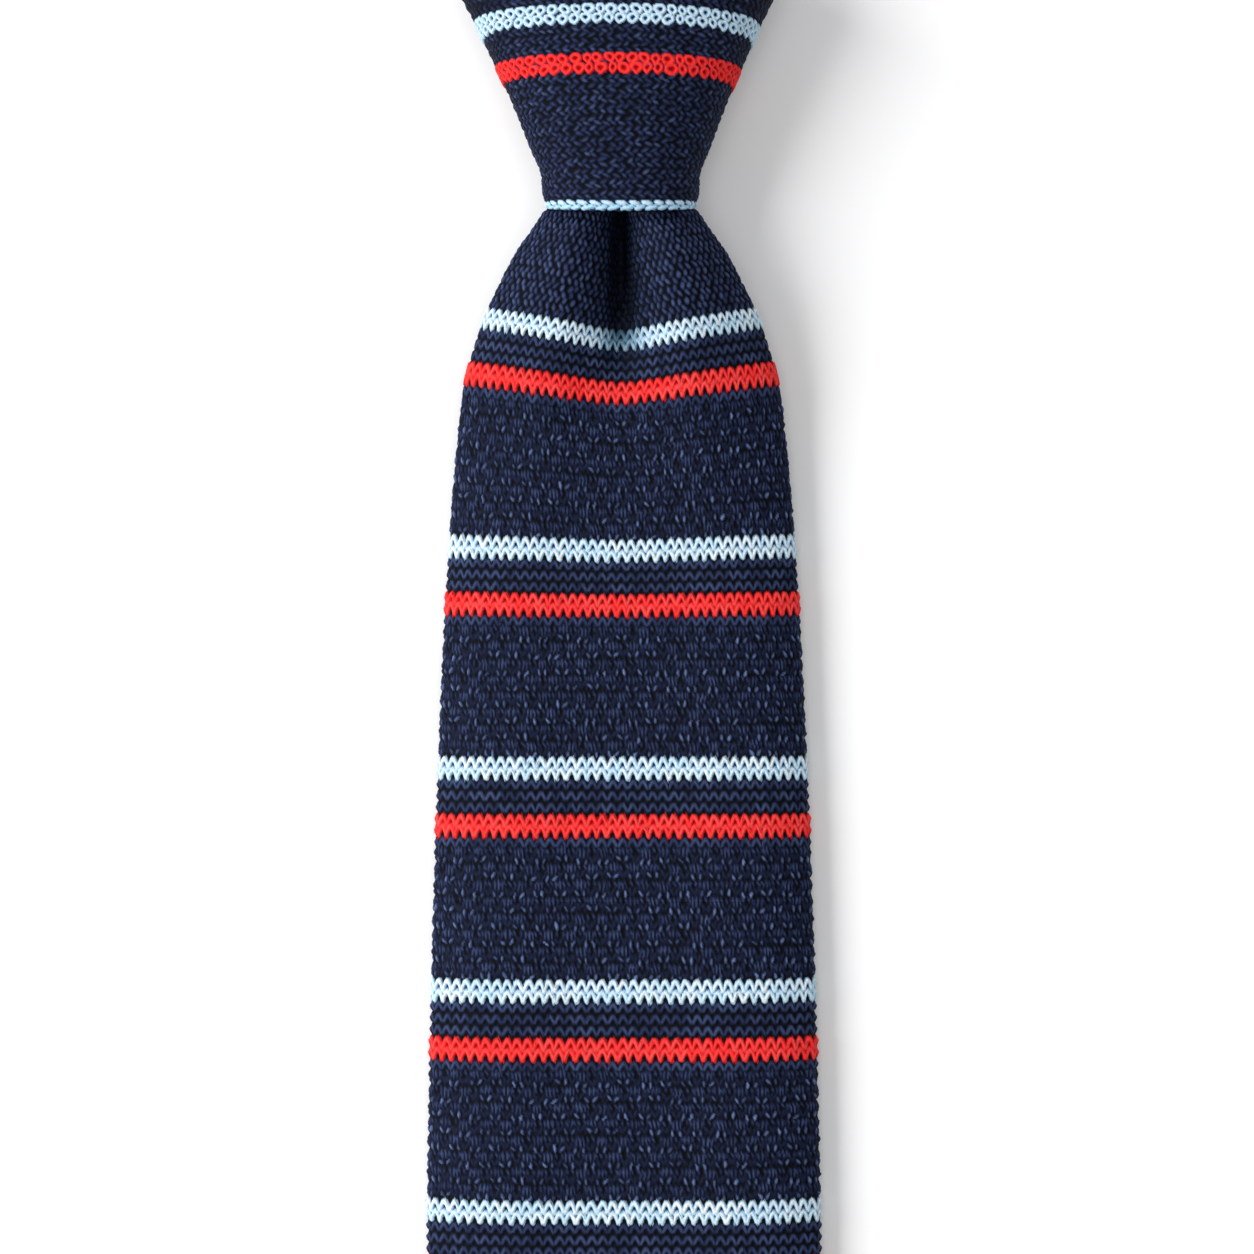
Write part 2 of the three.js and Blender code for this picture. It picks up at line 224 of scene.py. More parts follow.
def tuckField(wale, row):
    # Height share and tone of the tuck stitches. Rows are counted from the field's top.
    waleWide, rowHigh = tuck["cell"]
    share, tone = grainField(wale * waleWide, row * rowHigh, tuck["ground"])
    inField = (row > -0.15) & (row < tuck["rows"] + 0.1)
    share = np.where(inField, share * varied(tuck["groundHeight"], np.cos(2 * np.pi * (row - 0.3))), 0)
    tone = tone * tuck["groundTone"]
    wale = wale + tuck["drift"][0] * wander(wale * 0.7, row * 1.3, 33)
    row = row + tuck["drift"][1] * wander(wale * 0.6, row * 1.1, 34)
    for step in (-1, 0, 1):
        m = np.floor(row) + step
        shift = m % 2
        n = np.round((wale - shift) / 2)
        inside = (m >= 0) & (m < tuck["rows"])
        luck = chance(n, m, 3)
        dx = (wale - 2 * n - shift) * waleWide + tuck["loose"][0] * (luck - 0.5)
        dy = (row - m - tuck["middle"]) * rowHigh + tuck["loose"][1] * (chance(n, m, 4) - 0.5)
        strands = 0.5 + 0.5 * np.cos(2 * np.pi * dx / tuck["strand"] + 6 * luck)
        mound = dome((dx / tuck["mound"][0]) ** 2 + (dy / tuck["mound"][1]) ** 2)
        mound = mound * varied(tuck["strandHeight"], strands) * varied(tuck["moundHeight"], chance(n, m, 24))
        found = np.where(inside, mound, 0)
        shade = varied(tuck["moundTone"], luck)
        for side in (-1, 1):
            lean = -side * tuck["lean"] + chance(n, m, 5 + side) - 0.5
            bright = grain(dx - side * tuck["apart"], dy - tuck["below"], lean, *tuck["grain"])
            bright = np.where(inside, bright * varied(tuck["grainSize"], chance(n, m, 14 + side)), 0)
            outerX, outerY = dx - side * tuck["outerApart"], dy - tuck["outerBelow"]
            outer = grain(outerX, outerY, side * tuck["outerLean"], *tuck["outer"])
            outer = np.where(inside, outer * tuck["outerHeight"], 0)
            shade = np.where(outer > found, varied(tuck["outerTone"], chance(n, m, 18 + side)), shade)
            found = np.maximum(found, outer)
            shade = np.where(bright > found, varied(tuck["grainTone"], chance(n, m, 8 + side)), shade)
            found = np.maximum(found, bright)
        better = found > share
        share = np.where(better, found, share)
        tone = np.where(better, shade, tone)
    return share, tone


# Small grains of the gathered navy cloth above the first stripe. The cell is one wale and one
# course, in photo pixels.
rice = {"cell": (8.3, 10.6), "height": 0.75, "tone": 0.6, "pitch": 6.7, "rowPitch": 6.9, "stagger": 0.5,
        "grain": (4.7, 2.35), "turn": 0, "lean": 0.3, "loose": 2.2, "salt": 21}


def stripStitches(wale, course):
    # Height share, yarn and tone of the knit at places on a strip of cloth.
    wale = sway(wale, course)
    above = course < 0
    q = np.where(above, -1, course % repeat["length"])
    share, tone = tuckField(wale, (q - repeat["tuckFrom"]) / tuck["row"])
    grains, grainTone = grainField(wale * rice["cell"][0], course * rice["cell"][1], rice)
    share = np.where(above, grains * rice["height"], share * tuck["height"])
    tone = np.where(above, grainTone * rice["tone"], tone)
    yarn = np.zeros(wale.shape, int)
    for k in range(repeat["plain"]):
        luck = chance(np.floor(wale), k + np.floor(course / repeat["length"]) * 7, 17)
        if k in stripeCourses:
            name, top, drop = stripeCourses[k]
            drawn = legs(wale, q, name, top, drop) * varied(stitch["height"], luck)
        else:
            name = "navy"
            drawn = legs(wale, q, name, k + navyCourse["top"], navyCourse["drop"])
            drawn = drawn * np.clip((k + navyCourse["ends"] - q) / navyCourse["fade"], 0, 1)
            drawn = drawn * varied(navyCourse["height"], luck)
        better = drawn > share
        share = np.where(better, drawn, share)
        yarn = np.where(better, yarnNames.index(name), yarn)
        tone = np.where(better, varied(stitch["tone"], luck), tone)
    # The top of the first course of a stripe reaches a little into the repeat above it.
    drawn = legs(wale, np.where(above, course, q - repeat["length"]), *stripeCourses[0])
    better = drawn > bare
    share, yarn = np.where(better, drawn, share), np.where(better, yarnNames.index("sky"), yarn)
    for name in ("sky", "red"):
        low, high = repeat[name][0] + repeat["inset"][0], repeat[name][1] - repeat["inset"][1]
        yarn = np.where((share < bare) & (q > low) & (q < high), yarnNames.index(name), yarn)
    return share, yarn, tone


def follow(rows, name, y):
    # Smooth value of one column of a table at heights y, without overshoot.
    ordered = sorted(rows, key=lambda row: row["y"])
    ys = np.array([row["y"] for row in ordered], float)
    values = np.array([row[name] for row in ordered], float)
    rise = np.diff(values) / np.diff(ys)
    both = rise[:-1] * rise[1:]
    eased = np.where(both > 0, 2 * both / np.where(both > 0, rise[:-1] + rise[1:], 1), 0)
    slope = np.concatenate([rise[:1], eased, rise[-1:]])
    i = np.clip(np.searchsorted(ys, y, side="right") - 1, 0, len(ys) - 2)
    span = ys[i + 1] - ys[i]
    t = np.clip((y - ys[i]) / span, 0, 1)
    return ((2 * t ** 3 - 3 * t ** 2 + 1) * values[i] + (t ** 3 - 2 * t ** 2 + t) * slope[i] * span
            + (3 * t ** 2 - 2 * t ** 3) * values[i + 1] + (t ** 3 - t ** 2) * slope[i + 1] * span)


def throughPoints(points, samples=12):
    # Centripetal curve through points.
    ends = [2 * points[0] - points[1], *points, 2 * points[-1] - points[-2]]
    t = np.linspace(0, 1, samples, endpoint=False)[:, None]
    line = []
    for a, b, c, d in zip(ends, ends[1:], ends[2:], ends[3:]):
        pairs = ((a, b), (b, c), (c, d))
        before, span, after = (max(np.linalg.norm(q - p), 1e-6) ** 0.5 for p, q in pairs)
        leave = span * ((b - a) / before - (c - a) / (before + span) + (c - b) / span)
        arrive = span * ((c - b) / span - (d - b) / (span + after) + (d - c) / after)
        line.append(b + leave * t + (3 * (c - b) - 2 * leave - arrive) * t ** 2
                    + (2 * (b - c) + leave + arrive) * t ** 3)
    return np.vstack([*line, points[-1][None]])


def lengthsOf(line):
    # Distance of each point of a line from its start.
    return np.concatenate([[0], np.cumsum(np.linalg.norm(np.diff(line, axis=0), axis=1))])


def pointsAt(line, length, at):
    # Points of a line at distances from its start.
    return np.stack([np.interp(at, length, line[:, k]) for k in range(line.shape[1])], 1)


def spaced(line, shares):
    # Points at shares of a line's length.
    length = lengthsOf(line)
    return pointsAt(line, length, shares * length[-1])


def inSteps(stretches, last):
    # Values through (start, stop, step) stretches, and the last one.
    return np.concatenate([*(np.arange(*stretch) for stretch in stretches), [last]])


def drifted(drift, y):
    # How far a piece leans to a side at the height y.
    most, start, end = drift
    return most * min(max((y - start) / (end - start), 0), 1)


frontSteps = np.linspace(0, 1, 241)
backSteps = np.linspace(0, 1, 9)
rollSteps = np.linspace(0, np.pi / 2, 10)
flatSteps = 160


def section(face, thick, endGap=math.inf):
    # Front and back of a strip of cloth with rolled edges, from the line of its face.
    # endGap is how far the strip's end is from here: close to it the cloth thins to a rim.
    length = lengthsOf(face)
    along = np.gradient(face, length, axis=0)
    along /= np.linalg.norm(along, axis=1)[:, None]
    roll = thick / 2
    start = roll * (1 - np.cos(rollSteps))
    middle = np.linspace(roll, length[-1] - roll, flatSteps)[1:-1]
    at = np.concatenate([start, middle, length[-1] - start[::-1]])
    rolled = roll * (1 - np.sin(rollSteps))
    depth = np.concatenate([rolled, 0 * middle, rolled[::-1]])
    if endGap < roll:
        depth = np.maximum(depth, roll - math.sqrt(max(roll ** 2 - (roll - endGap) ** 2, 0)) * 0.98)
    point = pointsAt(face, length, at)
    out = np.stack([np.interp(at, length, -along[:, 1]), np.interp(at, length, along[:, 0])], 1)
    out /= np.linalg.norm(out, axis=1)[:, None]
    front = spaced(point - out * depth[:, None], frontSteps)
    back = spaced(point - out * (thick - depth)[:, None], backSteps)
    return front, back


def gridNormals(grid):
    down, right = np.gradient(grid, axis=0), np.gradient(grid, axis=1)
    normal = np.cross(down, right)
    return normal / np.maximum(np.linalg.norm(normal, axis=2), 1e-12)[:, :, None]


def outwardNormals(grid, back):
    # Normals of a strip's front, turned away from its back.
    normal = gridNormals(grid)
    middle = grid.shape[1] // 2
    outward = np.sum(normal[:, middle] * (grid[:, middle] - back[:, back.shape[1] // 2]))
    return normal if outward > 0 else -normal


def sample(grid, stations, u, y):
    # Bilinear look-up in a grid of points whose rows are at the stations.
    rising = stations[-1] > stations[0]
    index = np.arange(len(stations), dtype=float)
    row = np.interp(y, stations if rising else stations[::-1], index if rising else index[::-1])
    column = np.clip(u, 0, 1) * (grid.shape[1] - 1)
    i = np.clip(row.astype(int), 0, grid.shape[0] - 2)
    j = np.clip(column.astype(int), 0, grid.shape[1] - 2)
    s, t = (row - i)[:, None], (column - j)[:, None]
    near = grid[i, j] * (1 - t) + grid[i, j + 1] * t
    far = grid[i + 1, j] * (1 - t) + grid[i + 1, j + 1] * t
    return near * (1 - s) + far * s


# Fine fibres: noise between two values changes the yarn's tone and makes a bump of this
# height in metres.
fibreLook = {"scale": 2600, "detail": 2, "noise": (0.3, 0.7), "tone": (0.8, 1.12), "bump": 0.35,
             "height": 0.00012, "roughness": 0.72, "shine": 0.1}


def stripedKnit():
    # Yarn colour from the mesh, with fine fibres that change its tone and catch the light.
    look = fibreLook
    material = bpy.data.materials.new("striped_knit")
    material.use_nodes = True
    nodes, links = material.node_tree.nodes, material.node_tree.links
    shader = nodes["Principled BSDF"]
    shader.inputs["Roughness"].default_value = look["roughness"]
    shader.inputs["Specular IOR Level"].default_value = look["shine"]
    colour = nodes.new("ShaderNodeVertexColor")
    colour.layer_name = "yarn"
    place = nodes.new("ShaderNodeTexCoord")
    fibre = nodes.new("ShaderNodeTexNoise")
    fibre.inputs["Scale"].default_value = look["scale"]
    fibre.inputs["Detail"].default_value = look["detail"]
    links.new(place.outputs["Object"], fibre.inputs["Vector"])
    tone = nodes.new("ShaderNodeMapRange")
    tone.inputs["From Min"].default_value = look["noise"][0]
    tone.inputs["From Max"].default_value = look["noise"][1]
    tone.inputs["To Min"].default_value = look["tone"][0]
    tone.inputs["To Max"].default_value = look["tone"][1]
    links.new(fibre.outputs["Fac"], tone.inputs["Value"])
    mix = nodes.new("ShaderNodeMix")
    mix.data_type = "RGBA"
    mix.blend_type = "MULTIPLY"
    mix.inputs[0].default_value = 1
    links.new(colour.outputs["Color"], mix.inputs[6])
    links.new(tone.outputs["Result"], mix.inputs[7])
    links.new(mix.outputs[2], shader.inputs["Base Color"])
    bump = nodes.new("ShaderNodeBump")
    bump.inputs["Strength"].default_value = look["bump"]
    bump.inputs["Distance"].default_value = look["height"]
    links.new(fibre.outputs["Fac"], bump.inputs["Height"])
    links.new(bump.outputs["Normal"], shader.inputs["Normal"])
    return material


knitMaterial = stripedKnit()
print("knit material ready")


def meshOf(name, points, colours, rings, closed):
    # Mesh of `rings` rings of points, capped at both ends or joined end to end.
    around = len(points) // rings
    spans = rings if closed else rings - 1
    i, j = np.meshgrid(np.arange(spans), np.arange(around), indexing="ij")
    right, below = (j + 1) % around, (i + 1) % rings
    quads = [i * around + j, below * around + j, below * around + right, i * around + right]
    faces = np.stack(quads, -1).reshape(-1, 4)
    mapU = np.stack([j, j, j + 1, j + 1], -1).reshape(-1, 4) / around
    mapV = np.stack([i, i + 1, i + 1, i], -1).reshape(-1, 4) / spans
    corners = np.stack([points[faces[:, k]] for k in range(4)])
    turned = np.sum(np.cross(corners[1] - corners[0], corners[2] - corners[0]) * corners[0]) < 0
    if turned:
        faces, mapU, mapV = faces[:, ::-1], mapU[:, ::-1], mapV[:, ::-1]
    shapes = faces.tolist()
    texture = np.stack([mapU.ravel(), mapV.ravel()], 1)
    if not closed:
        # The two caps share one spot of the texture.
        first, last = list(range(around)), list(range((rings - 1) * around, rings * around))
        shapes += [first[::-1], last] if turned else [first, last[::-1]]
        texture = np.vstack([texture, np.tile([[0.999, 0.999]], (2 * around, 1))])
    mesh = bpy.data.meshes.new(name)
    mesh.from_pydata((points * mm).tolist(), [], shapes)
    smooth = [True] * len(faces) + [False] * (len(shapes) - len(faces))
    mesh.polygons.foreach_set("use_smooth", smooth)
    layer = mesh.uv_layers.new(name="OFBake")
    layer.uv.foreach_set("vector", texture.astype(np.float32).ravel())
    yarn = mesh.color_attributes.new("yarn", "FLOAT_COLOR", "POINT")
    opaque = np.hstack([colours, np.ones((len(points), 1))])
    yarn.data.foreach_set("color", opaque.astype(np.float32).ravel())
    mesh.materials.append(knitMaterial)
    mesh.update()
    piece = bpy.data.objects.new(name, mesh)
    bpy.context.scene.collection.objects.link(piece)
    print(name, len(points), "points", sum(len(s) - 2 for s in shapes), "triangles")
    return piece


# Rows of points on a strip, in courses. Each detail has its steps down gathered cloth, plain
# stitches and tuck stitches. A row dips at the feet of the loops, by course of the repeat.
rowLook = {
    "fine": {"rice": 0.125, "legs": 1 / 6, "tuck": tuck["row"] / 10},
    "coarse": {"rice": 0.5, "legs": 1 / 3, "tuck": 0.5},
    "offset": 0.09,
    "riceTo": -0.3,
    "tuckBetween": (7.9, 18.7),
    "dips": [(0, 0.82), (1.75, 0.82), (2.35, 0.64), (4.4, 0.64), (4.9, 0.82), (6.9, 0.82), (9.0, 0),
             (17.4, 0), (18.9, 0.82), (19, 0.82)],
    "dipsAbove": [(-1.6, 0), (-0.1, 0.82)],
}


def rowsOf(first, last, detail):
    # The course of each row at the loop tops, and how far the row dips at the loop feet.
    look, steps = rowLook, rowLook[detail]
    rows = []
    course = first
    while course < last - 1e-6:
        rows.append(course)
        if course < look["riceTo"]:
            course += steps["rice"]
        elif look["tuckBetween"][0] <= course % repeat["length"] <= look["tuckBetween"][1]:
            course += steps["tuck"]
        else:
            # Every course of legs gets its rows at the same places.
            course = round((course - look["offset"]) / steps["legs"] + 1) * steps["legs"] + look["offset"]
    rows = np.array(rows + [last])
    dip = np.interp(rows % repeat["length"], *np.array(look["dips"]).T)
    dip = np.where(rows < 0, np.interp(rows, *np.array(look["dipsAbove"]).T), dip)
    return rows, dip


# Bumps of the outermost stitches, one for each course or row of tuck: how high they stand, and
# how many wales they take.
edge = {"height": 0.75, "wales": 0.9}


def knit(name, strip, rows, dip, perWale):
    # One piece of cloth: relief on the front, plain stripes of colour on the back.
    wales = np.arange(0, strip["wales"] * perWale + 1) / perWale
    rings = len(rows)
    wale, row = np.meshgrid(wales, np.arange(rings))
    wale, row = wale.ravel(), row.ravel()
    course = rows[row] + dip[row] * legDrop(sway(wale, rows[row]))
    face, normal = strip["front"](wale / strip["wales"], course)
    share, yarn, tone = stripStitches(wale, course)
    q = course % repeat["length"]
    inTuck = (course > 0) & (q > repeat["tuckFrom"])
    turns = np.where(inTuck, (q - repeat["tuckFrom"]) / tuck["row"], course)
    atEdge = np.clip(1 - np.minimum(wale, strip["wales"] - wale) / edge["wales"], 0, 1)
    bumps = -0.5 * edge["height"] * np.cos(2 * np.pi * turns) * atEdge
    face = face + normal * (share * stitch["relief"] - stitch["sink"] + bumps)[:, None]
    shade = yarnColour(share, yarn, tone)
    # Painted shade deep in a fold, where the strip has one.
    if "paintedFoldShade" in strip:
        shade = shade * strip["paintedFoldShade"](face)
    backShare, backRow = np.meshgrid(backSteps[-2:0:-1], np.arange(rings))
    backCourse = rows[backRow.ravel()]
    rear = strip["back"](backShare.ravel(), backCourse)
    q = backCourse % repeat["length"]
    inSky = (q < repeat["sky"][1]) & (backCourse >= 0)
    inRed = (q >= repeat["red"][0]) & (q < repeat["red"][1])
    rearYarn = np.where(inSky, yarnNames.index("sky"), np.where(inRed, yarnNames.index("red"), 0))
    rearShade = yarnColour(np.full(len(q), 0.5), rearYarn, np.full(len(q), 0.5))
    points = np.concatenate([face.reshape(rings, -1, 3), rear.reshape(rings, -1, 3)], 1).reshape(-1, 3)
    colours = np.concatenate([shade.reshape(rings, -1, 3), rearShade.reshape(rings, -1, 3)], 1)
    points[:, 2] = np.maximum(points[:, 2], 0)
    return meshOf(name, points, colours.reshape(-1, 3), rings, False)


# Right half of the blade's sections: the middle of its face, the wall of the dimple, the lobe,
# the side and the edge, where the cloth turns under, and the cloth's thickness.
bladeColumns = ("y", "midZ", "wallX", "wallZ", "lobeX", "lobeZ", "sideX", "sideZ", "edgeX", "edgeZ", "thick")
bladeTable = [
    (-4, 10.2, 1.6, 13.0, 4.3, 15.5, 7.9, 12.0, 7.3, 8.1, 2.3),
    (-17.7, 9.9, 1.6, 13.2, 4.3, 15.6, 8.0, 11.6, 7.4, 8.1, 2.3),
    (-18.1, 9.8, 1.6, 13.3, 4.3, 15.6, 10.7, 11.6, 9.8, 8.0, 2.4),
    (-18.6, 9.7, 1.7, 13.4, 4.4, 15.6, 11.2, 11.8, 10.2, 8.0, 2.4),
    (-19.5, 9.5, 1.8, 13.7, 4.8, 15.8, 11.8, 12.0, 10.6, 8.0, 2.5),
    (-20.8, 9.2, 2.0, 14.2, 6.0, 17.3, 12.7, 11.9, 11.4, 7.8, 2.6),
    (-24.6, 8.9, 2.2, 14.3, 7.3, 17.5, 15.4, 11.4, 14.2, 7.3, 2.8),
    (-29.0, 9.1, 2.5, 13.6, 8.3, 16.8, 17.7, 10.6, 16.9, 6.8, 3.0),
    (-35.6, 9.8, 3.3, 12.4, 9.3, 14.9, 20.6, 9.0, 20.6, 5.9, 3.3),
    (-44.5, 10.5, 4.7, 11.2, 10.8, 12.2, 22.2, 8.1, 24.0, 5.2, 3.6),
    (-54.8, 9.8, 5.8, 10.0, 12.6, 10.2, 22.1, 7.5, 25.4, 4.8, 3.8),
    (-66.5, 8.9, 6.6, 8.9, 14.2, 8.9, 22.0, 7.1, 26.3, 4.5, 3.9),
    (-90.0, 8.1, 7.0, 8.1, 15.6, 8.1, 22.5, 6.8, 27.6, 4.2, 4),
    (-137.0, 8.1, 7.0, 8.1, 16.0, 8.1, 23.4, 6.8, 29.2, 4.1, 4),
    (-171.4, 8.1, 7.0, 8.1, 16.0, 8.1, 23.7, 6.8, 29.8, 4.1, 4),
    (-386.0, 8.1, 7.0, 8.1, 16.0, 8.1, 24.0, 6.8, 30.3, 4.1, 4),
    (-410.0, 4.6, 7.0, 4.6, 16.0, 4.5, 24.2, 4.2, 30.4, 4.0, 4),
    (-488.0, 4.1, 7.0, 4.1, 16.0, 4.1, 24.2, 4.1, 30.5, 4.0, 4),
]
blade = {
    "rows": [dict(zip(bladeColumns, row)) for row in bladeTable],
    "wales": 40,
    "ends": -488.0,
    # Heights where sections are made: start, stop and step.
    "stations": [(-8, -17, -0.8), (-17, -20, -0.2), (-20, -72, -0.8), (-72, -484, -2),
                 (-484, -487.99, -0.4)],
    # How far it leans right at most, and the heights where that starts and ends.
    "drift": (0.45, -17.6, -172),
    # Courses down the middle of the blade and the photo row of each, then a height and its
    # row, and the pixels for each course where the photo has ended.
    "courses": [(-19.5, 130), (-11.3, 211), (1, 341), (6, 393), (20, 551), (25, 605), (39, 768),
                (44, 825.5), (58, 991), (63, 1049.5), (77, 1212)],
    "knownRow": (-18, 210),
    "pitchBelow": 11.68,
    # How much higher the courses lie for each millimetre outwards, by course, and how far
    # from the middle the rise takes to set in.
    "smile": [(-19.5, 0), (-14, 0.1), (-8, 0.155), (1, 0.187), (6, 0.15), (14, 0.08), (20, 0.034), (30, 0)],
    "smileSoft": 3,
    # Courses where one piece ends and the next starts. Inside the knot a few rows are enough.
    "cuts": [-18.5, 16.5, 50.5, 85.0],
    "hiddenTo": -13.2,
    "hiddenEvery": 6,
    # Little light reaches the cloth deep in the dimple, so its colour is darkened there as painted shade:
    # the depth where it starts to darken, the depth that it takes, and how much each colour loses, which
    # tints the painted shade blue.
    "paintedFoldShade": {"from": 0.8, "over": 4.2, "dark": 0.85, "tint": [1.3, 1.0, 0.85]},
}


def acrossTie(side, y):
    # A section's points in the frame.
    lean = drifted(blade["drift"], y)
    return np.stack([side[:, 0] + lean, np.full(len(side), y), np.maximum(side[:, 1], 0)], 1)


def bladeStrip():
    # The blade's front and back as grids of points, and how courses lie on them.
    stations = inSteps(blade["stations"], blade["ends"])
    values = {name: follow(blade["rows"], name, stations) for name in bladeColumns[1:]}
    fronts, backs = [], []
    for i, y in enumerate(stations):
        v = {name: values[name][i] for name in values}
        right = [(v[place + "X"], v[place + "Z"]) for place in ("wall", "lobe", "side", "edge")]
        line = np.array([(-x, z) for x, z in right[::-1]] + [(0, v["midZ"])] + right)
        front, back = section(throughPoints(line), v["thick"], y - blade["ends"])
        fronts.append(acrossTie(front, y))
        backs.append(acrossTie(back, y))
    front, back = np.array(fronts), np.array(backs)
    normal = outwardNormals(front, back)
    known, pixels = np.array(blade["courses"]).T
    heights = blade["knownRow"][0] + (blade["knownRow"][1] - pixels) * pixel
    lastCourse = known[-1] + (heights[-1] - blade["ends"]) / pixel / blade["pitchBelow"]
    known, heights = np.append(known, lastCourse), np.append(heights, blade["ends"])
    smileAt, smile = np.array(blade["smile"]).T
    soft = blade["smileSoft"]

    def heightOf(grid, u, course):
        y = np.interp(course, known, heights)
        x = sample(grid, stations, u, y)[:, 0]
        return y + np.interp(course, smileAt, smile) * (np.hypot(x, soft) - soft)

    def frontAt(u, course):
        y = heightOf(front, u, course)
        return sample(front, stations, u, y), sample(normal, stations, u, y)

    def backAt(u, course):
        return sample(back, stations, u, heightOf(back, u, course))

    # Painted shade: the colour darkens and turns bluish with the cloth's depth below the lobes of the
    # dimple.
    def paintedFoldShade(face):
        look = blade["paintedFoldShade"]
        lobeX, lobeZ = (follow(blade["rows"], name, face[:, 1]) for name in ("lobeX", "lobeZ"))
        deep = np.where(np.abs(face[:, 0]) < lobeX, lobeZ - face[:, 2], 0)
        t = np.clip((deep - look["from"]) / look["over"], 0, 1)
        return (1 - look["dark"] * t * t * (3 - 2 * t))[:, None] ** look["tint"]

    return {"wales": blade["wales"], "front": frontAt, "back": backAt, "paintedFoldShade": paintedFoldShade,
            "lastCourse": lastCourse}


def bladeCloth():
    strip = bladeStrip()
    pieces = []
    for number, name in enumerate(("blade_top", "blade_upper", "blade_middle")):
        rows, dip = rowsOf(blade["cuts"][number], blade["cuts"][number + 1], "fine")
        if number == 0:
            keep = (rows > blade["hiddenTo"]) | (np.arange(len(rows)) % blade["hiddenEvery"] == 0)
            rows, dip = rows[keep], dip[keep]
        pieces.append(knit(name, strip, rows, dip, 10))
    # The lowest piece ends in straight rows.
    rows, dip = rowsOf(blade["cuts"][3], strip["lastCourse"], "coarse")
    dip = np.where(rows > strip["lastCourse"] - 2, 0, dip)
    pieces.append(knit("blade_lower", strip, rows, dip, 3))
    return pieces


bladePieces = bladeCloth()
print("blade knitted")

# Sections of the tail: half its width, the height of its underside and the cloth's thickness.
tailColumns = ("y", "half", "low", "thick")
tailTable = [
    (-5, 6.0, 4.4, 3.0), (-12, 6.0, 3.4, 3.2), (-18.5, 6.2, 2.9, 3.2), (-24, 8.6, 1.8, 3.3),
    (-32, 12.4, 0.6, 3.5), (-40, 15.4, 0, 3.6), (-60, 18.4, 0, 3.6), (-90, 18.6, 0, 3.6),
    (-388, 18.8, 0, 3.6),
]
tail = {
    "rows": [dict(zip(tailColumns, row)) for row in tailTable],
    "wales": 23,
    "starts": -6.0,
    "ends": -388.0,
    "stations": [(-6, -64, -1.0), (-64, -384, -8), (-384, -387.9, -0.4)],
}


def tailStrip():
    stations = inSteps(tail["stations"], tail["ends"])
    values = {name: follow(tail["rows"], name, stations) for name in tailColumns[1:]}
    fronts, backs = [], []
    for i, y in enumerate(stations):
        half, low, thick = (values[name][i] for name in tailColumns[1:])
        face = np.stack([np.linspace(-half, half, 40), np.full(40, low + thick)], 1)
        front, back = section(face, thick, y - tail["ends"])
        fronts.append(acrossTie(front, y))
        backs.append(acrossTie(back, y))
    front, back = np.array(fronts), np.array(backs)
    normal = outwardNormals(front, back)

    def heightOf(course):
        return tail["starts"] - course * stitch["course"]

    def frontAt(u, course):
        y = heightOf(course)
        return sample(front, stations, u, y), sample(normal, stations, u, y)

    def backAt(u, course):
        return sample(back, stations, u, heightOf(course))

    lastCourse = (tail["starts"] - tail["ends"]) / stitch["course"]
    return {"wales": tail["wales"], "front": frontAt, "back": backAt, "lastCourse": lastCourse}


def tailCloth():
    strip = tailStrip()
    rows, dip = rowsOf(rowLook["offset"], strip["lastCourse"], "coarse")
    return knit("tail_cloth", strip, rows, dip * 0, 2)


tailPiece = tailCloth()
print("tail knitted")

# Right half of the band's way out of the knot and round the neck: x, y and z of its middle,
# its width, and how far it has turned up on its edge, in degrees. Back is where it turns round.
band = {
    "rows": [(6.8, 3, 11, 12.0, 0), (8.0, 9, 11, 14.6, 0), (8.7, 14, 11, 16.0, 0), (9.1, 18.5, 11, 16.4, 0),
             (12.6, 28, 11.2, 19.6, 8), (22.0, 44, 12.0, 24.4, 30), (36.6, 66, 13.4, 27.2, 62),
             (49.0, 91, 14, 28, 84), (53.5, 116, 14, 28, 90), (48.5, 142, 14, 28, 90),
             (29.0, 165, 14, 28, 90)],
    "back": (0, 175, 14, 28, 90),
    "thick": 3.6,
    "wales": 18,
    "sections": 260,
}


def bandStrip():
    right = np.array(band["rows"], float)
    left = right[::-1] * [-1, 1, 1, 1, 1]
    path = np.vstack([right, [band["back"]], left])
    middle = throughPoints(path[:, :3], 24)
    shape = throughPoints(path[:, 3:], 24)
    length = lengthsOf(middle)
    stations = np.linspace(0, length[-1], band["sections"])
    middle = pointsAt(middle, length, stations)
    width, tilt = pointsAt(shape, length, stations).T
    tilt = np.radians(np.minimum(tilt, 90))
    along = np.gradient(middle, axis=0)
    up = np.array([0.0, 0, 1])
    outward = np.cross(along, up)
    outward /= np.linalg.norm(outward, axis=1)[:, None]
    c, s = np.cos(tilt)[:, None], np.sin(tilt)[:, None]
    across, out = outward * c - up * s, outward * s + up * c
    fronts, backs = [], []
    for i in range(len(stations)):
        face = np.stack([np.linspace(-width[i] / 2, width[i] / 2, 40), np.full(40, band["thick"] / 2)], 1)
        front, back = section(face, band["thick"])
        for side, into in ((front, fronts), (back, backs)):
            into.append(middle[i] + side[:, :1] * across[i] + side[:, 1:] * out[i])
    front, back = np.array(fronts), np.array(backs)
    normal = outwardNormals(front, back)

    def frontAt(u, course):
        at = course * stitch["course"]
        return sample(front, stations, u, at), sample(normal, stations, u, at)

    def backAt(u, course):
        return sample(back, stations, u, course * stitch["course"])

    lastCourse = length[-1] / stitch["course"]
    return {"wales": band["wales"], "front": frontAt, "back": backAt, "lastCourse": lastCourse}


def bandCloth():
    strip = bandStrip()
    rows, dip = rowsOf(rowLook["offset"], strip["lastCourse"], "coarse")
    return knit("band_cloth", strip, rows, dip, 3)


bandPiece = bandCloth()
print("neck band knitted")

